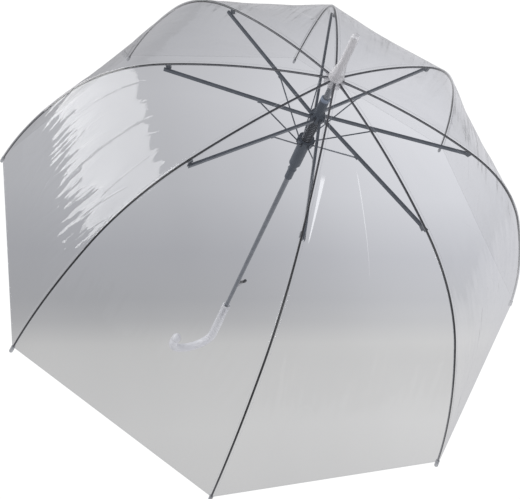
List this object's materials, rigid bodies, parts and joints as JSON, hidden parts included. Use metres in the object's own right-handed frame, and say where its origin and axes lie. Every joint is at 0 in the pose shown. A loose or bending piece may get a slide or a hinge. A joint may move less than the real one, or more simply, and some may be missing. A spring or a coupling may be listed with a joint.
{
  "type": "stick umbrella",
  "caption": "Stick umbrella with a deep clear dome: curved ribs on a slim shaft, spring runner with stretchers and struts, long ferrule and crook handle.",
  "frame": {"origin": "on the shaft's axis, in the middle of the handle's straight grip", "axes": "+Z along the shaft towards the ferrule, +X the way the handle's crook opens, +Y by the right-hand rule"},
  "size_m": [0.8704, 0.8704, 0.8551],
  "materials": {
    "clear_film": "clear PVC film, glossy, slightly grey where it is seen in depth",
    "rib_steel": "dark lacquered spring steel",
    "stretcher_steel": "dark grey lacquered folded steel",
    "shaft_steel": "dark grey lacquered steel tube",
    "white_plastic": "milky white moulded plastic",
    "handle_plastic": "milky translucent moulded plastic",
    "cap_plastic": "grey translucent moulded plastic",
    "dark_plastic": "dark blue-grey moulded plastic",
    "spring_steel": "drawn steel wire",
    "catch_steel": "dark steel blade"
  },
  "bodies": {
    "root": {"shaft": "shaft_steel", "ferrule": "white_plastic", "top_notch": "white_plastic", "notch_pins": "spring_steel", "canopy": "clear_film", "handle": "handle_plastic", "handle_plug": "handle_plastic"},
    "runner": {"runner": "dark_plastic", "runner_pins": "spring_steel", "main_spring": "spring_steel"},
    "lower_hub": {"lower_hub": "dark_plastic"},
    "release_catch": {"release_catch": "catch_steel"},
    "rib_1": {"rib_1": "rib_steel", "rib_clip_1": "rib_steel"},
    "outer_rib_1": {"outer_rib_1": "rib_steel", "rib_cap_1": "cap_plastic"},
    "stretcher_1": {"stretcher_1": "stretcher_steel"},
    "strut_1": {"strut_1": "stretcher_steel"},
    "rib_2": {"rib_2": "rib_steel", "rib_clip_2": "rib_steel"},
    "outer_rib_2": {"outer_rib_2": "rib_steel", "rib_cap_2": "cap_plastic"},
    "stretcher_2": {"stretcher_2": "stretcher_steel"},
    "strut_2": {"strut_2": "stretcher_steel"},
    "rib_3": {"rib_3": "rib_steel", "rib_clip_3": "rib_steel"},
    "outer_rib_3": {"outer_rib_3": "rib_steel", "rib_cap_3": "cap_plastic"},
    "stretcher_3": {"stretcher_3": "stretcher_steel"},
    "strut_3": {"strut_3": "stretcher_steel"},
    "rib_4": {"rib_4": "rib_steel", "rib_clip_4": "rib_steel"},
    "outer_rib_4": {"outer_rib_4": "rib_steel", "rib_cap_4": "cap_plastic"},
    "stretcher_4": {"stretcher_4": "stretcher_steel"},
    "strut_4": {"strut_4": "stretcher_steel"},
    "rib_5": {"rib_5": "rib_steel", "rib_clip_5": "rib_steel"},
    "outer_rib_5": {"outer_rib_5": "rib_steel", "rib_cap_5": "cap_plastic"},
    "stretcher_5": {"stretcher_5": "stretcher_steel"},
    "strut_5": {"strut_5": "stretcher_steel"},
    "rib_6": {"rib_6": "rib_steel", "rib_clip_6": "rib_steel"},
    "outer_rib_6": {"outer_rib_6": "rib_steel", "rib_cap_6": "cap_plastic"},
    "stretcher_6": {"stretcher_6": "stretcher_steel"},
    "strut_6": {"strut_6": "stretcher_steel"},
    "rib_7": {"rib_7": "rib_steel", "rib_clip_7": "rib_steel"},
    "outer_rib_7": {"outer_rib_7": "rib_steel", "rib_cap_7": "cap_plastic"},
    "stretcher_7": {"stretcher_7": "stretcher_steel"},
    "strut_7": {"strut_7": "stretcher_steel"},
    "rib_8": {"rib_8": "rib_steel", "rib_clip_8": "rib_steel"},
    "outer_rib_8": {"outer_rib_8": "rib_steel", "rib_cap_8": "cap_plastic"},
    "stretcher_8": {"stretcher_8": "stretcher_steel"},
    "strut_8": {"strut_8": "stretcher_steel"}
  },
  "joints": [
    {"name": "runner_slide", "type": "slide", "parent": "root", "child": "runner", "axis": [0, 0, -1], "range_m": [0, 0.33899], "stiffness_N_per_m": 40, "springref_m": -0.25, "deforming": ["main_spring"]},
    {"name": "hub_slide", "type": "slide", "parent": "runner", "child": "lower_hub", "axis": [0, 0, 1], "range_m": [0, 0.03324]},
    {"name": "rib_hinge_1", "type": "hinge", "parent": "root", "child": "rib_1", "pos_m": [0.00779, -0.0045, 0.664], "axis": [0.5, 0.866, 0], "range_deg": [0, 72.01]},
    {"name": "rib_flex_1", "type": "hinge", "parent": "rib_1", "child": "outer_rib_1", "pos_m": [0.17957, -0.10368, 0.61418], "axis": [-0.5, -0.866, 0], "range_deg": [0, 30.68]},
    {"name": "stretcher_hinge_1", "type": "hinge", "parent": "runner", "child": "stretcher_1", "pos_m": [0.01023, -0.00129, 0.603], "axis": [-0.5, -0.866, 0], "range_deg": [0, 85.38]},
    {"name": "strut_hinge_1", "type": "hinge", "parent": "stretcher_1", "child": "strut_1", "pos_m": [0.06917, -0.03531, 0.60262], "axis": [0.5, 0.866, 0], "range_deg": [0, 32.91]},
    {"name": "rib_hinge_2", "type": "hinge", "parent": "root", "child": "rib_2", "pos_m": [0.00869, 0.00233, 0.664], "axis": [-0.2588, 0.9659, 0], "range_deg": [0, 72.01]},
    {"name": "rib_flex_2", "type": "hinge", "parent": "rib_2", "child": "outer_rib_2", "pos_m": [0.20029, 0.05367, 0.61418], "axis": [0.2588, -0.9659, 0], "range_deg": [0, 30.68]},
    {"name": "stretcher_hinge_2", "type": "hinge", "parent": "runner", "child": "stretcher_2", "pos_m": [0.00814, 0.00632, 0.603], "axis": [0.2588, -0.9659, 0], "range_deg": [0, 85.38]},
    {"name": "strut_hinge_2", "type": "hinge", "parent": "stretcher_2", "child": "strut_2", "pos_m": [0.07388, 0.02394, 0.60262], "axis": [-0.2588, 0.9659, 0], "range_deg": [0, 32.91]},
    {"name": "rib_hinge_3", "type": "hinge", "parent": "root", "child": "rib_3", "pos_m": [0.0045, 0.00779, 0.664], "axis": [-0.866, 0.5, 0], "range_deg": [0, 72.01]},
    {"name": "rib_flex_3", "type": "hinge", "parent": "rib_3", "child": "outer_rib_3", "pos_m": [0.10368, 0.17957, 0.61418], "axis": [0.866, -0.5, 0], "range_deg": [0, 30.68]},
    {"name": "stretcher_hinge_3", "type": "hinge", "parent": "runner", "child": "stretcher_3", "pos_m": [0.00129, 0.01023, 0.603], "axis": [0.866, -0.5, 0], "range_deg": [0, 85.38]},
    {"name": "strut_hinge_3", "type": "hinge", "parent": "stretcher_3", "child": "strut_3", "pos_m": [0.03531, 0.06917, 0.60262], "axis": [-0.866, 0.5, 0], "range_deg": [0, 32.91]},
    {"name": "rib_hinge_4", "type": "hinge", "parent": "root", "child": "rib_4", "pos_m": [-0.00233, 0.00869, 0.664], "axis": [-0.9659, -0.2588, 0], "range_deg": [0, 72.01]},
    {"name": "rib_flex_4", "type": "hinge", "parent": "rib_4", "child": "outer_rib_4", "pos_m": [-0.05367, 0.20029, 0.61418], "axis": [0.9659, 0.2588, 0], "range_deg": [0, 30.68]},
    {"name": "stretcher_hinge_4", "type": "hinge", "parent": "runner", "child": "stretcher_4", "pos_m": [-0.00632, 0.00814, 0.603], "axis": [0.9659, 0.2588, 0], "range_deg": [0, 85.38]},
    {"name": "strut_hinge_4", "type": "hinge", "parent": "stretcher_4", "child": "strut_4", "pos_m": [-0.02394, 0.07388, 0.60262], "axis": [-0.9659, -0.2588, 0], "range_deg": [0, 32.91]},
    {"name": "rib_hinge_5", "type": "hinge", "parent": "root", "child": "rib_5", "pos_m": [-0.00779, 0.0045, 0.664], "axis": [-0.5, -0.866, 0], "range_deg": [0, 72.01]},
    {"name": "rib_flex_5", "type": "hinge", "parent": "rib_5", "child": "outer_rib_5", "pos_m": [-0.17957, 0.10368, 0.61418], "axis": [0.5, 0.866, 0], "range_deg": [0, 30.68]},
    {"name": "stretcher_hinge_5", "type": "hinge", "parent": "runner", "child": "stretcher_5", "pos_m": [-0.01023, 0.00129, 0.603], "axis": [0.5, 0.866, 0], "range_deg": [0, 85.38]},
    {"name": "strut_hinge_5", "type": "hinge", "parent": "stretcher_5", "child": "strut_5", "pos_m": [-0.06917, 0.03531, 0.60262], "axis": [-0.5, -0.866, 0], "range_deg": [0, 32.91]},
    {"name": "rib_hinge_6", "type": "hinge", "parent": "root", "child": "rib_6", "pos_m": [-0.00869, -0.00233, 0.664], "axis": [0.2588, -0.9659, 0], "range_deg": [0, 72.01]},
    {"name": "rib_flex_6", "type": "hinge", "parent": "rib_6", "child": "outer_rib_6", "pos_m": [-0.20029, -0.05367, 0.61418], "axis": [-0.2588, 0.9659, 0], "range_deg": [0, 30.68]},
    {"name": "stretcher_hinge_6", "type": "hinge", "parent": "runner", "child": "stretcher_6", "pos_m": [-0.00814, -0.00632, 0.603], "axis": [-0.2588, 0.9659, 0], "range_deg": [0, 85.38]},
    {"name": "strut_hinge_6", "type": "hinge", "parent": "stretcher_6", "child": "strut_6", "pos_m": [-0.07388, -0.02394, 0.60262], "axis": [0.2588, -0.9659, 0], "range_deg": [0, 32.91]},
    {"name": "rib_hinge_7", "type": "hinge", "parent": "root", "child": "rib_7", "pos_m": [-0.0045, -0.00779, 0.664], "axis": [0.866, -0.5, 0], "range_deg": [0, 72.01]},
    {"name": "rib_flex_7", "type": "hinge", "parent": "rib_7", "child": "outer_rib_7", "pos_m": [-0.10368, -0.17957, 0.61418], "axis": [-0.866, 0.5, 0], "range_deg": [0, 30.68]},
    {"name": "stretcher_hinge_7", "type": "hinge", "parent": "runner", "child": "stretcher_7", "pos_m": [-0.00129, -0.01023, 0.603], "axis": [-0.866, 0.5, 0], "range_deg": [0, 85.38]},
    {"name": "strut_hinge_7", "type": "hinge", "parent": "stretcher_7", "child": "strut_7", "pos_m": [-0.03531, -0.06917, 0.60262], "axis": [0.866, -0.5, 0], "range_deg": [0, 32.91]},
    {"name": "rib_hinge_8", "type": "hinge", "parent": "root", "child": "rib_8", "pos_m": [0.00233, -0.00869, 0.664], "axis": [0.9659, 0.2588, 0], "range_deg": [0, 72.01]},
    {"name": "rib_flex_8", "type": "hinge", "parent": "rib_8", "child": "outer_rib_8", "pos_m": [0.05367, -0.20029, 0.61418], "axis": [-0.9659, -0.2588, 0], "range_deg": [0, 30.68]},
    {"name": "stretcher_hinge_8", "type": "hinge", "parent": "runner", "child": "stretcher_8", "pos_m": [0.00632, -0.00814, 0.603], "axis": [-0.9659, -0.2588, 0], "range_deg": [0, 85.38]},
    {"name": "strut_hinge_8", "type": "hinge", "parent": "stretcher_8", "child": "strut_8", "pos_m": [0.02394, -0.07388, 0.60262], "axis": [0.9659, 0.2588, 0], "range_deg": [0, 32.91]},
    {"name": "catch_press", "type": "hinge", "parent": "root", "child": "release_catch", "pos_m": [-0.002, 0, 0.144], "axis": [0, 1, 0], "range_deg": [0, 8], "stiffness_Nm_per_rad": 0.3, "springref_deg": -11.46}
  ],
  "couplings": [
    {"joint": "hub_slide", "follows": "runner_slide", "ratio": 0.098037},
    {"joint": "rib_hinge_1", "follows": "runner_slide", "rad_per_m": 3.707},
    {"joint": "rib_flex_1", "follows": "runner_slide", "rad_per_m": 1.5792},
    {"joint": "stretcher_hinge_1", "follows": "runner_slide", "rad_per_m": 4.395},
    {"joint": "strut_hinge_1", "follows": "runner_slide", "rad_per_m": 1.6941},
    {"joint": "rib_hinge_2", "follows": "runner_slide", "rad_per_m": 3.707},
    {"joint": "rib_flex_2", "follows": "runner_slide", "rad_per_m": 1.5792},
    {"joint": "stretcher_hinge_2", "follows": "runner_slide", "rad_per_m": 4.395},
    {"joint": "strut_hinge_2", "follows": "runner_slide", "rad_per_m": 1.6941},
    {"joint": "rib_hinge_3", "follows": "runner_slide", "rad_per_m": 3.707},
    {"joint": "rib_flex_3", "follows": "runner_slide", "rad_per_m": 1.5792},
    {"joint": "stretcher_hinge_3", "follows": "runner_slide", "rad_per_m": 4.395},
    {"joint": "strut_hinge_3", "follows": "runner_slide", "rad_per_m": 1.6941},
    {"joint": "rib_hinge_4", "follows": "runner_slide", "rad_per_m": 3.707},
    {"joint": "rib_flex_4", "follows": "runner_slide", "rad_per_m": 1.5792},
    {"joint": "stretcher_hinge_4", "follows": "runner_slide", "rad_per_m": 4.395},
    {"joint": "strut_hinge_4", "follows": "runner_slide", "rad_per_m": 1.6941},
    {"joint": "rib_hinge_5", "follows": "runner_slide", "rad_per_m": 3.707},
    {"joint": "rib_flex_5", "follows": "runner_slide", "rad_per_m": 1.5792},
    {"joint": "stretcher_hinge_5", "follows": "runner_slide", "rad_per_m": 4.395},
    {"joint": "strut_hinge_5", "follows": "runner_slide", "rad_per_m": 1.6941},
    {"joint": "rib_hinge_6", "follows": "runner_slide", "rad_per_m": 3.707},
    {"joint": "rib_flex_6", "follows": "runner_slide", "rad_per_m": 1.5792},
    {"joint": "stretcher_hinge_6", "follows": "runner_slide", "rad_per_m": 4.395},
    {"joint": "strut_hinge_6", "follows": "runner_slide", "rad_per_m": 1.6941},
    {"joint": "rib_hinge_7", "follows": "runner_slide", "rad_per_m": 3.707},
    {"joint": "rib_flex_7", "follows": "runner_slide", "rad_per_m": 1.5792},
    {"joint": "stretcher_hinge_7", "follows": "runner_slide", "rad_per_m": 4.395},
    {"joint": "strut_hinge_7", "follows": "runner_slide", "rad_per_m": 1.6941},
    {"joint": "rib_hinge_8", "follows": "runner_slide", "rad_per_m": 3.707},
    {"joint": "rib_flex_8", "follows": "runner_slide", "rad_per_m": 1.5792},
    {"joint": "stretcher_hinge_8", "follows": "runner_slide", "rad_per_m": 4.395},
    {"joint": "strut_hinge_8", "follows": "runner_slide", "rad_per_m": 1.6941}
  ]
}
